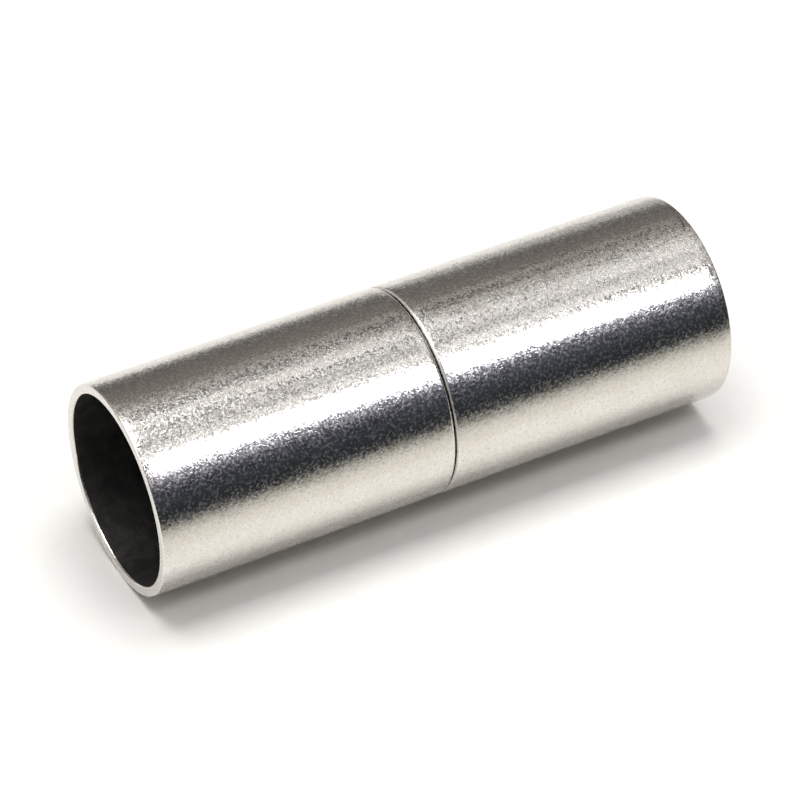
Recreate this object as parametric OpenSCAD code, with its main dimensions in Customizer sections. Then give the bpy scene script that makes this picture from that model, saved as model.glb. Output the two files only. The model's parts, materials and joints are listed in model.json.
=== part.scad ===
// Magnetic barrel clasp for round cord: two tubular halves, each with a cord
// socket at its outer end and a disc magnet at the seam between them.
// The clasp lies along X on the plane z = 0, with the seam above the origin.

/* [Cord socket] */
// Diameter of the cord that is glued into each end
cord_d = 6; // [2:0.5:12]
// Room for glue round the cord, on the radius
cord_gap = 0.15; // [0.05:0.05:0.5]
// Depth of each cord socket
socket_depth = 6.7; // [3:0.1:15]

/* [Shell] */
// Wall of the shell round the cord socket
socket_wall = 0.35; // [0.25:0.05:1.5]
// Wall of the shell round the magnet
pocket_wall = 0.45; // [0.3:0.05:0.9]
// Web between the cord socket and the magnet
web = 0.5; // [0.3:0.1:3]
// Rounding of the shell's outer edges
edge_r = 0.06; // [0.04:0.02:0.2]
// Rounding of the lip inside the mouth of the cord socket
lip_r = 0.08; // [0.02:0.02:0.12]
// Lead-in chamfer at the mouth of the magnet pocket
lead_in = 0.1; // [0.02:0.02:0.16]

/* [Magnets] */
// Thickness of the left magnet
magnet_len = 2.3; // [1:0.1:8]
// Height that the right magnet stands out of its shell
boss_h = 0.7; // [0.3:0.1:2.5]
// Rounding of each magnet's edges
magnet_edge_r = 0.15; // [0.05:0.05:0.3]

/* [Clearances] */
// Gap round each magnet in a pocket, on the radius
fit_gap = 0.05; // [0.02:0.01:0.15]
// Glue film behind each magnet
glue_gap = 0.05; // [0.02:0.01:0.2]
// Gap between the faces of the two magnets
magnet_gap = 0.02; // [0.01:0.01:0.1]
// Gap between the two shells at the seam
seam_gap = 0.05; // [0.02:0.01:0.1]

/* [Hidden] */
$fn = 96;
// Overlap that lets a cut run cleanly past the face that it opens
past = 0.5;
socket_r = cord_d / 2 + cord_gap;
outer_r = socket_r + socket_wall;
pocket_r = outer_r - pocket_wall;
magnet_r = pocket_r - fit_gap;
// The left magnet lies this far below its shell's seam face, so that the boss fits in above it
recess = boss_h + magnet_gap - seam_gap;
pocket_depth = glue_gap + magnet_len + recess;
shell_len = socket_depth + web + pocket_depth;
boss_magnet_len = pocket_depth - glue_gap + boss_h;
shell_colour = [0.72, 0.70, 0.66];
magnet_colour = [0.80, 0.80, 0.82];

// Half section of a rod of radius r between y = 0 and y = len, with rounded rims
module rounded_rod_section(r, len, rim_r) {
    square([r - rim_r, len]);
    translate([0, rim_r])
        square([r, len - 2 * rim_r]);
    for (y = [rim_r, len - rim_r])
        translate([r - rim_r, y])
            circle(rim_r);
}

// What is cut away to round the inner edge of the socket's mouth
module lip_cut() {
    difference() {
        translate([socket_r - past, shell_len - lip_r])
            square([past + lip_r, lip_r + past]);
        translate([socket_r + lip_r, shell_len - lip_r])
            circle(lip_r);
    }
}

// Half section of a shell, seam face at y = 0 and socket mouth at y = shell_len
module shell_section() {
    difference() {
        rounded_rod_section(outer_r, shell_len, edge_r);
        translate([0, shell_len - socket_depth])
            square([socket_r, socket_depth + past]);
        lip_cut();
        translate([0, -past])
            square([pocket_r, pocket_depth + past]);
        polygon([[0, 0], [pocket_r + lead_in, 0], [pocket_r, lead_in], [0, lead_in]]);
    }
}

// Turns a half section about the clasp's axis, which lies one outer radius above the ground
module about_axis() {
    translate([0, 0, outer_r])
        rotate([0, 90, 0])
            rotate_extrude()
                children();
}

module right_shell() {
    color(shell_colour)
        about_axis()
            translate([0, seam_gap / 2])
                shell_section();
}

module left_shell() {
    color(shell_colour)
        mirror([1, 0, 0])
            about_axis()
                translate([0, seam_gap / 2])
                    shell_section();
}

module left_magnet() {
    color(magnet_colour)
        mirror([1, 0, 0])
            about_axis()
                translate([0, seam_gap / 2 + recess])
                    rounded_rod_section(magnet_r, magnet_len, magnet_edge_r);
}

module right_magnet() {
    color(magnet_colour)
        about_axis()
            translate([0, seam_gap / 2 - boss_h])
                rounded_rod_section(magnet_r, boss_magnet_len, magnet_edge_r);
}

left_shell();
right_shell();
left_magnet();
right_magnet();
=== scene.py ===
"""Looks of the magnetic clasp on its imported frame: plated shells, magnets, studio and camera."""

import json
import math

import bpy
import numpy as np
from mathutils import Euler, Matrix, Vector


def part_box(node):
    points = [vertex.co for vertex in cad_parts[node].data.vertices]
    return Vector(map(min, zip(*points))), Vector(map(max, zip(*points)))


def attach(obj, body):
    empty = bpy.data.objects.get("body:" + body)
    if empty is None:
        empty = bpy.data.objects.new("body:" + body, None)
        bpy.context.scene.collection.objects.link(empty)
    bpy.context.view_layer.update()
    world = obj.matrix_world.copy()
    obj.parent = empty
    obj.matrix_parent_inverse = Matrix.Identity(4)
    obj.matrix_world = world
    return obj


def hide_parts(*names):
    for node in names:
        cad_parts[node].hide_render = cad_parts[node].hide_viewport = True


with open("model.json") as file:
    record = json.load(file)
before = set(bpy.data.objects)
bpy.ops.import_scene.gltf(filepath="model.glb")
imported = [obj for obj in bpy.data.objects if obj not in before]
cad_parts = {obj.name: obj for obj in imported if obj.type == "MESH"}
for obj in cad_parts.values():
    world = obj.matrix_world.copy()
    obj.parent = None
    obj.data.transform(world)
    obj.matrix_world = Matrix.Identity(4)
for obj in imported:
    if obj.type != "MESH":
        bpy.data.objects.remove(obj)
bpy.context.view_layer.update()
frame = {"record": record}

MM = 0.001
PER_MM = 1 / MM

# Sizes read from the frame, in millimetres, measured from the seam along the clasp's axis
mounts = {mount["name"]: mount for mount in frame["record"]["mounts"]}
shell_lo, shell_hi = [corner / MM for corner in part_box("right_shell")]
boss_lo, boss_hi = [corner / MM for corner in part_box("right_magnet")]
disc_lo, disc_hi = [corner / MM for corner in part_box("left_magnet")]
OUTER_R = (shell_hi.z - shell_lo.z) / 2
AXIS_Z = (shell_hi.z + shell_lo.z) / 2
SEAM_X = shell_lo.x
MOUTH_X = shell_hi.x
MAGNET_R = (boss_hi.z - boss_lo.z) / 2
SOCKET_R = mounts["right_socket"]["dims"]["r_mm"]
SOCKET_LEN = mounts["right_socket"]["dims"]["length_mm"]
SOCKET_FLOOR_X = mounts["right_socket"]["pos_m"][0] / MM - SOCKET_LEN / 2

# Sizes of the construction that the frame doesn't state, as in the part's source
FIT_GAP = 0.05
GLUE_GAP = 0.05
LIP_R = 0.08
EDGE_R = 0.06
LEAD_IN = 0.10
MAGNET_EDGE_R = 0.15
POCKET_R = MAGNET_R + FIT_GAP
POCKET_FLOOR_X = boss_hi.x + GLUE_GAP

# Wear of the tumbled shells: the outside falls away softly towards each end, and the outer edges that meet
# at the seam are knocked rounder than the others
ROLL_LEN = 0.35
ROLL_DROP = 0.014
SEAM_EDGE_R = 0.10
# Radius left in the inner corners
CORNER_R = 0.04

# Divisions round the axis of the shells and of the magnets
SHELL_SIDES = 360
MAGNET_SIDES = 240
# Divisions along a shell's outside, and how far they crowd towards its ends
OUTSIDE_STEPS = 110
CROWDING = 0.06
# Rim left free round each map
MAP_RIM = 0.004

# Finish zones of a shell, and the only one of a magnet
PLATED, SOCKET, POCKET = 0, 1, 2
NICKEL_PLATED = 0
# How much of the map's height a millimetre of profile gets in each zone
SHELL_WEIGHTS = {PLATED: 1.0, SOCKET: 0.4, POCKET: 0.4}
MAGNET_WEIGHTS = {NICKEL_PLATED: 1.0}
# Wear in the middle of a worn edge, and of one that is knocked as well
WORN = 1.0
KNOCKED = 2.0


# Profiles

class Profile:
    """Half section of a turned piece: points (x, r) in mm, each with its wear, and the finish zone of each
    stretch between two points."""

    def __init__(self, x, r):
        self.points = [(x, r)]
        self.wear = [0.0]
        self.zones = []

    def step(self, x, r, zone, wear=0.0):
        self.points.append((x, r))
        self.wear.append(wear)
        self.zones.append(zone)

    def line(self, x, r, steps, zone):
        start_x, start_r = self.points[-1]
        for i in range(1, steps + 1):
            share = i / steps
            self.step(start_x + (x - start_x) * share, start_r + (r - start_r) * share, zone)

    def arc(self, x, r, radius, start, end, steps, zone, wear=0.0):
        """About the point (x, r). Angles in degrees, 0 towards +X and 90 away from the axis."""
        for i in range(1, steps + 1):
            angle = math.radians(start + (end - start) * i / steps)
            wear_here = wear * math.sin(math.pi * i / steps)
            self.step(x + radius * math.cos(angle), r + radius * math.sin(angle), zone, wear_here)


def outer_radius(x):
    """Radius of the shell's outside at x, with the soft fall towards both ends."""
    near = max(0.0, 1 - (min(x - SEAM_X, MOUTH_X - x) - EDGE_R) / ROLL_LEN)
    return OUTER_R - ROLL_DROP * near ** 2


def shell_profile():
    """From the socket's floor round the mouth, the outside and the seam to the pocket's floor."""
    shell = Profile(SOCKET_FLOOR_X, 0.0)
    shell.line(SOCKET_FLOOR_X, SOCKET_R - CORNER_R, steps=12, zone=SOCKET)
    shell.arc(SOCKET_FLOOR_X + CORNER_R, SOCKET_R - CORNER_R, CORNER_R, 180, 90, steps=4, zone=SOCKET)
    shell.line(MOUTH_X - LIP_R, SOCKET_R, steps=40, zone=SOCKET)
    shell.arc(MOUTH_X - LIP_R, SOCKET_R + LIP_R, LIP_R, -90, 0, steps=8, zone=PLATED, wear=WORN)
    outside_from, outside_to = MOUTH_X - EDGE_R, SEAM_X + SEAM_EDGE_R
    rim_r = outer_radius(outside_from) - EDGE_R
    shell.line(MOUTH_X, rim_r, steps=4, zone=PLATED)
    shell.arc(outside_from, rim_r, EDGE_R, 0, 90, steps=10, zone=PLATED, wear=WORN)
    for i in range(1, OUTSIDE_STEPS + 1):
        share = i / OUTSIDE_STEPS
        share -= CROWDING * math.sin(2 * math.pi * share)
        x = outside_from + (outside_to - outside_from) * share
        shell.step(x, outer_radius(x), PLATED)
    seam_r = outer_radius(outside_to) - SEAM_EDGE_R
    shell.arc(outside_to, seam_r, SEAM_EDGE_R, 90, 180, steps=12, zone=PLATED, wear=KNOCKED)
    shell.line(SEAM_X, POCKET_R + LEAD_IN, steps=5, zone=PLATED)
    shell.line(SEAM_X + LEAD_IN, POCKET_R, steps=3, zone=PLATED)
    shell.line(POCKET_FLOOR_X - CORNER_R, POCKET_R, steps=16, zone=POCKET)
    shell.arc(POCKET_FLOOR_X - CORNER_R, POCKET_R - CORNER_R, CORNER_R, 90, 0, steps=4, zone=POCKET)
    shell.line(POCKET_FLOOR_X, 0.0, steps=10, zone=POCKET)
    return shell


def disc_profile(near_x, far_x):
    """A disc magnet between near_x and far_x, from the middle of its far face to that of its near one."""
    flat_r = MAGNET_R - MAGNET_EDGE_R
    near_rim, far_rim = near_x + MAGNET_EDGE_R, far_x - MAGNET_EDGE_R
    disc = Profile(far_x, 0.0)
    disc.line(far_x, flat_r, steps=24, zone=NICKEL_PLATED)
    disc.arc(far_rim, flat_r, MAGNET_EDGE_R, 0, 90, steps=10, zone=NICKEL_PLATED, wear=WORN)
    disc.line(near_rim, MAGNET_R, steps=20, zone=NICKEL_PLATED)
    disc.arc(near_rim, flat_r, MAGNET_EDGE_R, 90, 180, steps=10, zone=NICKEL_PLATED, wear=WORN)
    disc.line(near_x, 0.0, steps=24, zone=NICKEL_PLATED)
    return disc


def ring_vertices(profile, sides, mirrored):
    """Vertices and their wear, one ring for each point of the profile, and where each ring starts."""
    sign = -1 if mirrored else 1
    angles = np.arange(sides) * (2 * math.pi / sides) - math.pi / 2
    vertices, wear, starts = [], [], []
    for (x, r), wear_here in zip(profile.points, profile.wear):
        starts.append(len(vertices))
        # A point on the axis is one vertex
        for angle in angles if r > 0 else [0.0]:
            vertices.append((sign * x * MM, math.cos(angle) * r * MM, (AXIS_Z + math.sin(angle) * r) * MM))
            wear.append(wear_here)
    return vertices, wear, starts


def map_heights(profile, weights):
    """Where each point of the profile lies up the map."""
    lengths = np.linalg.norm(np.diff(profile.points, axis=0), axis=1)
    heights = np.insert(np.cumsum(lengths * [weights[zone] for zone in profile.zones]), 0, 0.0)
    return MAP_RIM + (1 - 2 * MAP_RIM) * heights / heights[-1]


def ring_faces(profile, sides, mirrored, starts, heights):
    """Faces between each ring and the next, their corners in the map and their finish zones."""
    across = MAP_RIM + (1 - 2 * MAP_RIM) * np.arange(sides + 1) / sides
    faces, map_corners, zones = [], [], []
    for i, zone in enumerate(profile.zones):
        start, end = starts[i], starts[i + 1]
        low, high = heights[i], heights[i + 1]
        for side in range(sides):
            after = (side + 1) % sides
            left, right = across[side], across[side + 1]
            if profile.points[i][1] == 0:
                face = [start, end + after, end + side]
                corners = [((left + right) / 2, low), (right, high), (left, high)]
            elif profile.points[i + 1][1] == 0:
                face = [start + side, start + after, end]
                corners = [(left, low), (right, low), ((left + right) / 2, high)]
            else:
                face = [start + side, start + after, end + after, end + side]
                corners = [(left, low), (right, low), (right, high), (left, high)]
            if mirrored:
                face, corners = face[::-1], corners[::-1]
            faces.append(face)
            map_corners.extend(corners)
            zones.append(zone)
    return faces, map_corners, zones


def turn(name, profile, sides, mirrored, weights, materials, body, node):
    """A closed smooth piece turned about the clasp's axis. It rides on a body and replaces a CAD node."""
    vertices, wear, starts = ring_vertices(profile, sides, mirrored)
    heights = map_heights(profile, weights)
    faces, map_corners, zones = ring_faces(profile, sides, mirrored, starts, heights)
    mesh = bpy.data.meshes.new(name)
    mesh.from_pydata(vertices, [], faces)
    mesh.uv_layers.new(name="OFBake").data.foreach_set("uv", np.array(map_corners, np.float32).ravel())
    mesh.polygons.foreach_set("material_index", np.array(zones, np.int32))
    mesh.polygons.foreach_set("use_smooth", np.ones(len(faces), bool))
    mesh.attributes.new("wear", "FLOAT", "POINT").data.foreach_set("value", np.array(wear, np.float32))
    for material in materials:
        mesh.materials.append(material)
    mesh.update()
    mesh.validate()
    piece = bpy.data.objects.new(name, mesh)
    bpy.context.scene.collection.objects.link(piece)
    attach(piece, body)
    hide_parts(node)


# Materials

class Nodes:
    """A material's or the world's node tree, with short calls for the nodes that are used here."""

    def __init__(self, tree):
        self.tree = tree

    def add(self, kind, **settings):
        node = self.tree.nodes.new(kind)
        for key, value in settings.items():
            setattr(node, key, value)
        return node

    def link(self, output, socket):
        self.tree.links.new(output, socket)

    def put(self, value, socket):
        """Links another node's output to a socket, or sets a number, a vector or a colour on it."""
        if isinstance(value, bpy.types.NodeSocket):
            self.link(value, socket)
        elif socket.type == "RGBA":
            socket.default_value = (*value, 1.0)
        else:
            socket.default_value = value

    def place(self):
        return self.add("ShaderNodeTexCoord").outputs["Object"]

    def wear(self):
        return self.add("ShaderNodeAttribute", attribute_name="wear").outputs["Fac"]

    def noise(self, where, scale, detail=2.0, roughness=0.5):
        node = self.add("ShaderNodeTexNoise")
        values = {"Vector": where, "Scale": scale, "Detail": detail, "Roughness": roughness}
        for name, value in values.items():
            self.put(value, node.inputs[name])
        return node.outputs["Fac"]

    def math(self, operation, *values):
        node = self.add("ShaderNodeMath", operation=operation)
        for value, socket in zip(values, node.inputs):
            self.put(value, socket)
        return node.outputs[0]

    def vector(self, operation, *values):
        node = self.add("ShaderNodeVectorMath", operation=operation)
        for value, socket in zip(values, node.inputs):
            self.put(value, socket)
        return node.outputs[0]

    def facets(self, where, scale, tilt):
        """The surface normal tilted by a random amount in each cell of a fine random mosaic.
        tilt is the spread of that amount in radians."""
        cells = self.add("ShaderNodeTexVoronoi", feature="F1")
        self.put(scale, cells.inputs["Scale"])
        self.put(where, cells.inputs["Vector"])
        lean = self.vector("SUBTRACT", cells.outputs["Color"], (0.5, 0.5, 0.5))
        lean = self.vector("MULTIPLY", lean, (tilt, tilt, tilt))
        leaning = self.vector("ADD", self.add("ShaderNodeNewGeometry").outputs["Normal"], lean)
        return self.vector("NORMALIZE", leaning)

    def fit(self, value, source, target=(0.0, 1.0), smooth=False):
        """A value's place in the range source, moved to the range target and held inside it."""
        node = self.add("ShaderNodeMapRange", interpolation_type="SMOOTHSTEP" if smooth else "LINEAR")
        for name, number in zip(("From Min", "From Max", "To Min", "To Max"), (*source, *target)):
            self.put(number, node.inputs[name])
        self.put(value, node.inputs["Value"])
        return node.outputs["Result"]

    def band(self, value, start, full, fading, end):
        """1 between full and fading, and 0 below start and above end."""
        enter = self.fit(value, (start, full), smooth=True)
        leave = self.fit(value, (fading, end), (1.0, 0.0), smooth=True)
        return self.math("MULTIPLY", enter, leave)

    def mix(self, factor, a, b, kind="RGBA"):
        node = self.add("ShaderNodeMix", data_type=kind)
        for name, value in (("Factor", factor), ("A", a), ("B", b)):
            self.put(value, node.inputs[name])
        return node.outputs["Result"]

    def ramp(self, value, stops):
        """Colour by value, from (position, colour) stops."""
        node = self.add("ShaderNodeValToRGB")
        elements = node.color_ramp.elements
        while len(elements) < len(stops):
            elements.new(0.5)
        for element, (position, colour) in zip(elements, stops):
            element.position = position
            element.color = (*colour, 1.0)
        self.link(value, node.inputs["Fac"])
        return node.outputs["Color"]

    def bump(self, height, distance, normal=None):
        node = self.add("ShaderNodeBump")
        self.put(distance, node.inputs["Distance"])
        self.put(height, node.inputs["Height"])
        if normal is not None:
            self.put(normal, node.inputs["Normal"])
        return node.outputs["Normal"]

    def relief(self, *layers, normal=None):
        """A normal from layers of (value, height in mm at value 1), summed."""
        total = None
        for value, height in layers:
            part = self.math("MULTIPLY", value, height)
            total = part if total is None else self.math("ADD", total, part)
        return self.bump(total, MM, normal)


def new_material(name, metallic):
    material = bpy.data.materials.new(name)
    material.use_nodes = True
    shader = material.node_tree.nodes["Principled BSDF"]
    shader.inputs["Metallic"].default_value = metallic
    return material, Nodes(material.node_tree), shader


# In each finish, PER_MM is how many features a millimetre holds, EDGE the values of noise over which they
# fade in, SHARE how much of them shows, ROUGH a roughness, its range or what is added to it, and HEIGHT a
# height in mm. NOISE_EDGE spans nearly all values of noise.
NOISE_EDGE = (0.3, 0.7)

# Plated and tumbled outside
PLATING = (0.71, 0.685, 0.648)
PLATING_DULL = (0.65, 0.612, 0.562)
PLATING_WORN = (0.74, 0.72, 0.68)
PLATING_FLECK = (0.46, 0.435, 0.40)
PLATING_ROUGH = 0.11
CLOUD_PER_MM = 0.9
CLOUD_EDGE = (0.35, 0.7)
CLOUD_SHARE = 0.55
FLECK_PER_MM = 8.0
FLECK_EDGE = (0.35, 0.65)
FLECK_SHARE = 0.15
MATTE_PER_MM = 11.0
MATTE_EDGE = (0.47, 0.62)
MATTE_ROUGH = 0.28
GRAIN_PER_MM = 18.0
GRAIN_HEIGHT = 0.0012
PIT_PER_MM = 13.0
PIT_EDGE = (0.56, 0.72)
PIT_HEIGHT = 0.0012
SWELL_PER_MM = 1.1
SWELL_HEIGHT = 0.0016
FACET_PER_MM = 13.0
FACET_TILT = 0.05
WORN_SHARE = 0.7
WORN_ROUGH = -0.03
KNOCKED_ROUGH = 0.38


def plated_metal():
    """Warm nickel-tone plating, satin from tumbling: fine grain and sparse pits over a faint swell, dull,
    flecked or matte in places, paler on worn edges and rough on knocked ones."""
    material, nodes, shader = new_material("shell_plating", metallic=1.0)
    place = nodes.place()
    wear = nodes.wear()
    cloud = nodes.noise(place, CLOUD_PER_MM * PER_MM, detail=3.0, roughness=0.6)
    fleck = nodes.noise(place, FLECK_PER_MM * PER_MM, detail=1.0)
    colour = nodes.mix(nodes.fit(cloud, CLOUD_EDGE, (0.0, CLOUD_SHARE)), PLATING, PLATING_DULL)
    colour = nodes.mix(nodes.fit(fleck, FLECK_EDGE, (0.0, FLECK_SHARE)), colour, PLATING_FLECK)
    colour = nodes.mix(nodes.fit(wear, (0.0, WORN), (0.0, WORN_SHARE)), colour, PLATING_WORN)
    nodes.link(colour, shader.inputs["Base Color"])

    matte = nodes.fit(nodes.noise(place, MATTE_PER_MM * PER_MM, detail=1.0), MATTE_EDGE, smooth=True)
    rough = nodes.fit(matte, (0.0, 1.0), (PLATING_ROUGH, MATTE_ROUGH))
    rough = nodes.math("ADD", rough, nodes.fit(wear, (0.0, WORN), (0.0, WORN_ROUGH)))
    rough = nodes.math("ADD", rough, nodes.fit(wear, (WORN, KNOCKED), (0.0, KNOCKED_ROUGH)))
    nodes.link(rough, shader.inputs["Roughness"])

    grain = nodes.noise(place, GRAIN_PER_MM * PER_MM, detail=0.0)
    pits = nodes.fit(nodes.noise(place, PIT_PER_MM * PER_MM, detail=0.0), PIT_EDGE, (1.0, 0.0), smooth=True)
    swell = nodes.noise(place, SWELL_PER_MM * PER_MM, detail=1.0)
    facets = nodes.facets(place, FACET_PER_MM * PER_MM, FACET_TILT)
    relief = nodes.relief((grain, GRAIN_HEIGHT), (pits, PIT_HEIGHT), (swell, SWELL_HEIGHT), normal=facets)
    nodes.link(relief, shader.inputs["Normal"])
    return material


# Inside of the cord socket, its colour kept near black: painted shade of the deep hole
SOCKET_SHADE_DARK = (0.024, 0.025, 0.023)
SOCKET_SHADE_PALE = (0.048, 0.046, 0.042)
SOCKET_ROUGH = (0.5, 0.75)
BLOTCH_PER_MM = 1.6
BLOTCH_EDGE = (0.42, 0.6)
SOCKET_PIT_PER_MM = 9
SOCKET_PIT_HEIGHT = 0.004


def socket_shaded_metal():
    """Inside of the cord socket: dark, unpolished and mottled; its near-black colour is painted shade of the
    deep hole.
    """
    material, nodes, shader = new_material("socket_painted_shade", metallic=0.6)
    place = nodes.place()
    blotch = nodes.noise(place, BLOTCH_PER_MM * PER_MM, detail=4.0, roughness=0.65)
    pits = nodes.noise(place, SOCKET_PIT_PER_MM * PER_MM)
    # Painted shade: the mottled colour stays near black for the shade deep in the hole
    colour = nodes.mix(nodes.fit(blotch, BLOTCH_EDGE), SOCKET_SHADE_DARK, SOCKET_SHADE_PALE)
    nodes.link(colour, shader.inputs["Base Color"])
    nodes.link(nodes.fit(pits, NOISE_EDGE, SOCKET_ROUGH), shader.inputs["Roughness"])
    nodes.link(nodes.bump(pits, SOCKET_PIT_HEIGHT * MM), shader.inputs["Normal"])
    return material


# Inside of the magnet pocket
POCKET_PLATING = (0.42, 0.40, 0.37)
DRIED_GLUE = (0.24, 0.22, 0.19)
POCKET_ROUGH = (0.35, 0.5)
GLUE_PER_MM = 1.3
GLUE_EDGE = (0.45, 0.62)
POCKET_PIT_PER_MM = 7
POCKET_PIT_HEIGHT = 0.003


def pocket_metal():
    """Wall and floor of the magnet pocket: duller plating, finely pitted, with patches of dried glue."""
    material, nodes, shader = new_material("pocket_plating", metallic=1.0)
    place = nodes.place()
    glue = nodes.noise(place, GLUE_PER_MM * PER_MM, detail=3.0)
    pits = nodes.noise(place, POCKET_PIT_PER_MM * PER_MM)
    colour = nodes.mix(nodes.fit(glue, GLUE_EDGE), POCKET_PLATING, DRIED_GLUE)
    nodes.link(colour, shader.inputs["Base Color"])
    nodes.link(nodes.fit(pits, NOISE_EDGE, POCKET_ROUGH), shader.inputs["Roughness"])
    nodes.link(nodes.bump(pits, POCKET_PIT_HEIGHT * MM), shader.inputs["Normal"])
    return material


# Magnets
NICKEL = (0.60, 0.585, 0.56)
NICKEL_HAZY = (0.47, 0.45, 0.42)
NICKEL_RUBBED = (0.36, 0.34, 0.31)
NICKEL_WORN = (0.72, 0.71, 0.69)
NICKEL_WORN_SHARE = 0.6
HAZE_PER_MM = 0.8
HAZE_EDGE = (0.35, 0.65)
HAZE_ROUGH = (0.12, 0.2)
# How many times finer the rub marks are along x, y and z
RUB_STRETCH = (1.0, 9.0, 1.4)
RUB_PER_MM = 1.5
RUB_EDGE = (0.52, 0.66)
RUB_SHARE = 0.5
RUB_ROUGH_EDGE = (0.5, 0.7)
RUB_ROUGH = 0.12
PEEL_PER_MM = 3.2
PEEL_HEIGHT = 0.004
FINE_PER_MM = 14
FINE_HEIGHT = 0.0008


def magnet_nickel():
    """Nickel on pressed magnet alloy: hazy patches, a faint orange peel, fine rub marks, paler worn rims."""
    material, nodes, shader = new_material("magnet_nickel", metallic=1.0)
    place = nodes.place()
    haze = nodes.noise(place, HAZE_PER_MM * PER_MM, detail=3.0)
    across = nodes.vector("MULTIPLY", place, RUB_STRETCH)
    rubs = nodes.noise(across, RUB_PER_MM * PER_MM, detail=4.0, roughness=0.7)
    colour = nodes.mix(nodes.fit(haze, HAZE_EDGE), NICKEL, NICKEL_HAZY)
    colour = nodes.mix(nodes.fit(rubs, RUB_EDGE, (0.0, RUB_SHARE), smooth=True), colour, NICKEL_RUBBED)
    colour = nodes.mix(nodes.math("MULTIPLY", nodes.wear(), NICKEL_WORN_SHARE), colour, NICKEL_WORN)
    nodes.link(colour, shader.inputs["Base Color"])
    rough = nodes.fit(haze, NOISE_EDGE, HAZE_ROUGH)
    rough = nodes.math("ADD", rough, nodes.fit(rubs, RUB_ROUGH_EDGE, (0.0, RUB_ROUGH)))
    nodes.link(rough, shader.inputs["Roughness"])
    normal = nodes.bump(nodes.noise(place, PEEL_PER_MM * PER_MM), PEEL_HEIGHT * MM)
    normal = nodes.bump(nodes.noise(place, FINE_PER_MM * PER_MM), FINE_HEIGHT * MM, normal)
    nodes.link(normal, shader.inputs["Normal"])
    return material


# The board that the clasp lies on
BOARD = (0.89, 0.88, 0.846)
BOARD_DULL = (0.87, 0.861, 0.827)
BOARD_ROUGH = 0.9
BOARD_SHEEN = 0.1
FIBRE_PER_MM = 0.8


def white_board():
    """The pale surface that the clasp lies on: smooth white board with the faintest fibre."""
    material, nodes, shader = new_material("floor_board", metallic=0.0)
    fibre = nodes.noise(nodes.place(), FIBRE_PER_MM * PER_MM, detail=4.0, roughness=0.6)
    colour = nodes.mix(nodes.fit(fibre, NOISE_EDGE), BOARD_DULL, BOARD)
    nodes.link(colour, shader.inputs["Base Color"])
    shader.inputs["Roughness"].default_value = BOARD_ROUGH
    shader.inputs["Specular IOR Level"].default_value = BOARD_SHEEN
    return material


# Pieces

# In the order of the zones PLATED, SOCKET and POCKET
shell_finishes = [plated_metal(), socket_shaded_metal(), pocket_metal()]
magnet_finishes = [magnet_nickel()]

shell = shell_profile()
turn("left_shell_plated", shell, SHELL_SIDES, True, SHELL_WEIGHTS, shell_finishes,
     "left_half", "left_shell")
turn("right_shell_plated", shell, SHELL_SIDES, False, SHELL_WEIGHTS, shell_finishes,
     "right_half", "right_shell")
turn("left_magnet_disc", disc_profile(-disc_hi.x, -disc_lo.x), MAGNET_SIDES, True, MAGNET_WEIGHTS,
     magnet_finishes, "left_half", "left_magnet")
turn("right_magnet_boss", disc_profile(boss_lo.x, boss_hi.x), MAGNET_SIDES, False, MAGNET_WEIGHTS,
     magnet_finishes, "right_half", "right_magnet")


# Lamps: each softbox spans some degrees about the clasp's axis, 0 level in front and 90 straight up

# From the clasp's axis to the middle of each softbox, in mm
LAMP_DISTANCE = 300
WHITE = (1, 1, 1)
# The key softbox, which shows only in reflections, and its cooler lower strip: name, degrees, colour
KEY_STRIPS = [("key", (50, 61.5), WHITE), ("key_low", (46.5, 50), (0.84, 0.92, 1.10))]
# Its stretches along x, lower where the right half mirrors them: from, to, degrees lower
KEY_PARTS = [(64, 110, -0.4), (110, 119, 0.7), (119, 130, 2.5), (130, 165, 4.0)]
KEY_RADIANCE = 8.0
# The light that the key softbox sends to the floor, which no reflection shows
SPILL_SPAN = (54, 66)
SPILL_X = (-40, 110)
SPILL_RADIANCE = 5.9
# The overhead softbox, and the stretch of it that lights the floor but is flagged off the metal
TOP_SPAN = (80, 109)
TOP_X = (-130, 40)
FILL_X = (40, 110)
TOP_RADIANCE = 6.6


def panel(name, span, x_span, radiance, colour=WHITE):
    """A flat rectangular softbox parallel to the clasp's axis, facing it: span in degrees, x_span in mm."""
    middle = math.radians(sum(span) / 2)
    light = bpy.data.lights.new(name, "AREA")
    light.shape = "RECTANGLE"
    light.size = (x_span[1] - x_span[0]) * MM
    light.size_y = 2 * LAMP_DISTANCE * math.tan(math.radians(span[1] - span[0]) / 2) * MM
    light.energy = radiance * math.pi * light.size * light.size_y
    light.color = colour
    lamp = bpy.data.objects.new(name, light)
    forward, height = LAMP_DISTANCE * math.cos(middle), AXIS_Z + LAMP_DISTANCE * math.sin(middle)
    lamp.location = Vector((sum(x_span) / 2, -forward, height)) * MM
    lamp.rotation_euler = Euler((math.pi / 2 - middle, 0, 0))
    bpy.context.scene.collection.objects.link(lamp)
    return lamp


for x_from, x_to, lower in KEY_PARTS:
    for name, span, colour in KEY_STRIPS:
        lowered = [edge - lower for edge in span]
        lamp = panel(f"{name}_{x_from}", lowered, (x_from, x_to), KEY_RADIANCE, colour)
        lamp.visible_diffuse = False
panel("top", TOP_SPAN, TOP_X, TOP_RADIANCE)
panel("fill", TOP_SPAN, FILL_X, TOP_RADIANCE).visible_glossy = False
panel("spill", SPILL_SPAN, SPILL_X, SPILL_RADIANCE).visible_glossy = False


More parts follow.
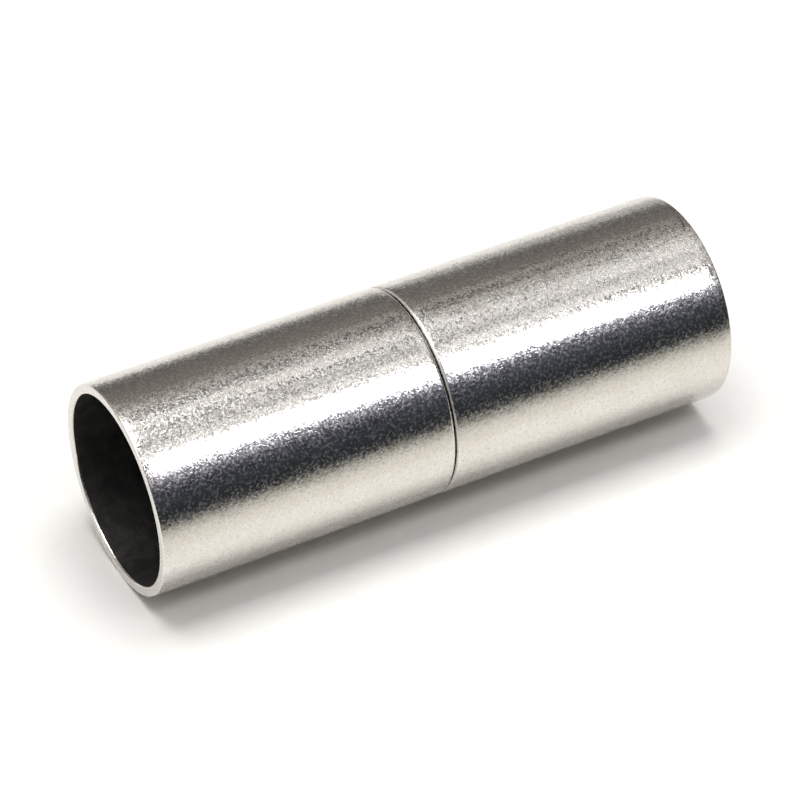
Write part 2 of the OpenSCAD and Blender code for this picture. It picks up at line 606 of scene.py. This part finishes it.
# The dim studio by angle about the clasp's axis, in degrees as for the lamps
STUDIO_SHADES = [
    (-180, (0.9, 0.9, 0.88)),
    (-20, (0.9, 0.9, 0.88)),
    (-2, (0.030, 0.036, 0.042)),
    (8, (0.030, 0.037, 0.046)),
    (22, (0.060, 0.068, 0.086)),
    (28, (0.085, 0.09, 0.12)),
    (33, (0.14, 0.145, 0.18)),
    (38, (0.26, 0.265, 0.31)),
    (43, (0.46, 0.46, 0.51)),
    (47, (0.30, 0.30, 0.31)),
    (58, (0.30, 0.30, 0.31)),
    (62, (0.62, 0.62, 0.62)),
    (72, (0.72, 0.72, 0.725)),
    (84, (0.67, 0.67, 0.675)),
    (90, (0.78, 0.78, 0.785)),
    (97, (0.83, 0.83, 0.835)),
    (106, (0.78, 0.78, 0.78)),
    (118, (0.55, 0.545, 0.53)),
    (127, (0.26, 0.25, 0.232)),
    (138, (0.24, 0.225, 0.205)),
    (168, (0.15, 0.14, 0.137)),
    (178, (0.25, 0.25, 0.25)),
    (180, (0.6, 0.6, 0.6)),
]

# Light and dark patches over the ceiling: the degrees over which they fade in and out, how many there are to
# a unit of direction, and their contrast
DAPPLE_SPAN = (10, 26, 128, 138)
DAPPLE_SCALE = 20.0
DAPPLE_EDGE = (0.46, 0.60)
DAPPLE_RANGE = (0.1, 2.6)
# The pale ceiling ends nearer towards +X: the view's x over which that sets in, by how many degrees it does,
# and the angles over which it fades in
SLANT_X = (0.325, 0.45)
SLANT = 12.0
SLANT_FADE = (88, 102)
# A pale wall top to the left of what the clasp's body mirrors: the view's x over which it fades out, the
# angles over which it fades in, and how much brighter than the rest it is
WALL_OUT = (-0.05, 0.14)
WALL_IN = (60, 68)
WALL_GAIN = 0.9
# The dark end of the studio beyond +X, mirrored only in what faces that way: the view's x over which it
# begins, and how bright it is
DARK_END = (0.55, 0.72)
DARK_SHARE = 0.12
# Share of the dim studio's light that reaches the floor
FLOOR_SHARE = 0.76


def radians(degrees):
    return [math.radians(angle) for angle in degrees]


def studio_colour(nodes, view_x, angle):
    """The dim studio's colour by angle about the clasp's axis, with the slanted end of its ceiling."""
    slant = nodes.fit(view_x, SLANT_X, (0.0, math.radians(SLANT)), smooth=True)
    slant = nodes.math("MULTIPLY", slant, nodes.fit(angle, radians(SLANT_FADE), smooth=True))
    along = nodes.fit(nodes.math("ADD", angle, slant), (-math.pi, math.pi))
    return nodes.ramp(along, [((degrees + 180) / 360, colour) for degrees, colour in STUDIO_SHADES])


def studio_strength(nodes, direction, view_x, angle, mirrored):
    """How bright the dim studio is: dappled above, and when mirrored paler at the left and dark past +X."""
    spots = nodes.noise(direction, DAPPLE_SCALE, detail=0.0)
    dapple = nodes.fit(spots, DAPPLE_EDGE, DAPPLE_RANGE, smooth=True)
    dapple_share = nodes.band(angle, *radians(DAPPLE_SPAN))
    dapple = nodes.math("MULTIPLY", dapple_share, nodes.math("SUBTRACT", dapple, 1.0))
    left = nodes.fit(view_x, WALL_OUT, (1.0, 0.0), smooth=True)
    wall = nodes.math("MULTIPLY", left, nodes.fit(angle, radians(WALL_IN), (0.0, WALL_GAIN), smooth=True))
    wall = nodes.math("MULTIPLY", wall, mirrored)
    strength = nodes.math("MULTIPLY", nodes.math("ADD", dapple, 1.0), nodes.math("ADD", wall, 1.0))
    beyond = nodes.fit(view_x, DARK_END, (1.0, DARK_SHARE), smooth=True)
    return nodes.math("MULTIPLY", strength, nodes.mix(mirrored, FLOOR_SHARE, beyond, kind="FLOAT"))


def studio_world():
    """The dim studio round the clasp: dark in front, pale above, grey behind, and white to the camera."""
    world = bpy.data.worlds.new("studio")
    bpy.context.scene.world = world
    world.use_nodes = True
    nodes = Nodes(world.node_tree)
    studio = world.node_tree.nodes["Background"]
    direction = nodes.add("ShaderNodeTexCoord").outputs["Generated"]
    view = nodes.add("ShaderNodeSeparateXYZ")
    nodes.link(direction, view.inputs[0])
    view_x = view.outputs["X"]
    angle = nodes.math("ARCTAN2", view.outputs["Z"], nodes.math("MULTIPLY", view.outputs["Y"], -1.0))
    ray = nodes.add("ShaderNodeLightPath")
    strength = studio_strength(nodes, direction, view_x, angle, ray.outputs["Is Glossy Ray"])
    nodes.link(studio_colour(nodes, view_x, angle), studio.inputs["Color"])
    nodes.link(strength, studio.inputs["Strength"])
    white = nodes.add("ShaderNodeBackground")
    white.inputs["Color"].default_value = (*WHITE, 1)
    choice = nodes.add("ShaderNodeMixShader")
    nodes.link(ray.outputs["Is Camera Ray"], choice.inputs["Fac"])
    nodes.link(studio.outputs[0], choice.inputs[1])
    nodes.link(white.outputs[0], choice.inputs[2])
    nodes.link(choice.outputs[0], world.node_tree.nodes["World Output"].inputs["Surface"])


studio_world()


# Floor, and the card that glows as a painted reflection

def sheet(name, corners, faces, material):
    """A flat or folded sheet round the clasp. Corners in mm."""
    mesh = bpy.data.meshes.new(name)
    mesh.from_pydata([tuple(c * MM for c in corner) for corner in corners], [], faces)
    mesh.materials.append(material)
    made = bpy.data.objects.new(name, mesh)
    bpy.context.scene.collection.objects.link(made)
    return made


# Half the side of the floor, in mm
FLOOR_REACH = 900
sheet("floor", [(x * FLOOR_REACH, y * FLOOR_REACH, 0) for x, y in ((-1, -1), (1, -1), (1, 1), (-1, 1))],
      [(0, 1, 2, 3)], white_board())

# Side view of the glowing card, from its foot near the floor up: y and z in mm, and the colour it glows
# there, a painted reflection, pale like the floor at its foot and dark like a room above
CARD_SIDE = [
    (-8.0, 0.03, (1.08, 1.06, 0.98)),
    (-9.4, 0.04, (1.05, 1.03, 0.955)),
    (-10.9, 0.05, (1.0, 0.98, 0.91)),
    (-13.0, 0.07, (0.89, 0.87, 0.81)),
    (-14.5, 0.7, (0.68, 0.665, 0.615)),
    (-16.3, 1.45, (0.42, 0.42, 0.39)),
    (-18.3, 2.3, (0.165, 0.17, 0.16)),
    (-20.0, 3.1, (0.053, 0.058, 0.060)),
    (-20.2, 4.5, (0.026, 0.032, 0.037)),
    (-20.5, 9.0, (0.036, 0.043, 0.053)),
]
# Half its length along x, in mm
CARD_HALF = 150


def glowing_reflection_card():
    """A card bent up in front of the clasp that glows, though it is no lamp, seen only where it is mirrored:
    a painted reflection, pale at its foot, then dark.
    """
    material, nodes, shader = new_material("card_painted_reflection", metallic=0.0)
    reflection_glow = nodes.add("ShaderNodeAttribute", attribute_name="reflection_glow").outputs["Color"]
    # Painted reflection: the card glows with these colours, seen only in the metal
    nodes.link(reflection_glow, shader.inputs["Emission Color"])
    shader.inputs["Emission Strength"].default_value = 1.0
    shader.inputs["Base Color"].default_value = (0, 0, 0, 1)
    shader.inputs["Roughness"].default_value = 1.0
    shader.inputs["Specular IOR Level"].default_value = 0.0
    corners = [(x * CARD_HALF, y, z) for y, z, colour in CARD_SIDE for x in (-1, 1)]
    colours = [(*colour, 1.0) for y, z, colour in CARD_SIDE for x in (-1, 1)]
    strips = [(2 * i, 2 * i + 1, 2 * i + 3, 2 * i + 2) for i in range(len(CARD_SIDE) - 1)]
    card = sheet("reflection_card", corners, strips, material)
    reflection_glows = card.data.attributes.new("reflection_glow", "FLOAT_COLOR", "POINT")
    reflection_glows.data.foreach_set("color", np.array(colours, np.float32).ravel())
    card.visible_camera = False
    card.visible_diffuse = False
    card.visible_shadow = False


glowing_reflection_card()


# Camera, fitted to the mouth, the seam and the outline in the photo
CAMERA_AT = Vector((-44.184, -80.442, 78.58)) * MM
CAMERA_BACK = Vector((-0.37097, -0.67750, 0.63512))
CAMERA_RIGHT = Vector((0.87713, -0.48027, 0.0))
LENS = 166.3
SENSOR = 36.0
# Nearest and farthest that the camera sees, in metres
CLIP_NEAR = 0.005
CLIP_FAR = 10


def photo_camera():
    data = bpy.data.cameras.new("camera")
    data.lens = LENS
    data.sensor_width = SENSOR
    data.clip_start = CLIP_NEAR
    data.clip_end = CLIP_FAR
    camera = bpy.data.objects.new("camera", data)
    bpy.context.scene.collection.objects.link(camera)
    back = CAMERA_BACK.normalized()
    right = (CAMERA_RIGHT - back * CAMERA_RIGHT.dot(back)).normalized()
    up = back.cross(right)
    turned = Matrix((right, up, back)).transposed().to_4x4()
    camera.matrix_world = Matrix.Translation(CAMERA_AT) @ turned
    bpy.context.scene.camera = camera


photo_camera()
bpy.context.scene.view_settings.view_transform = "Standard"
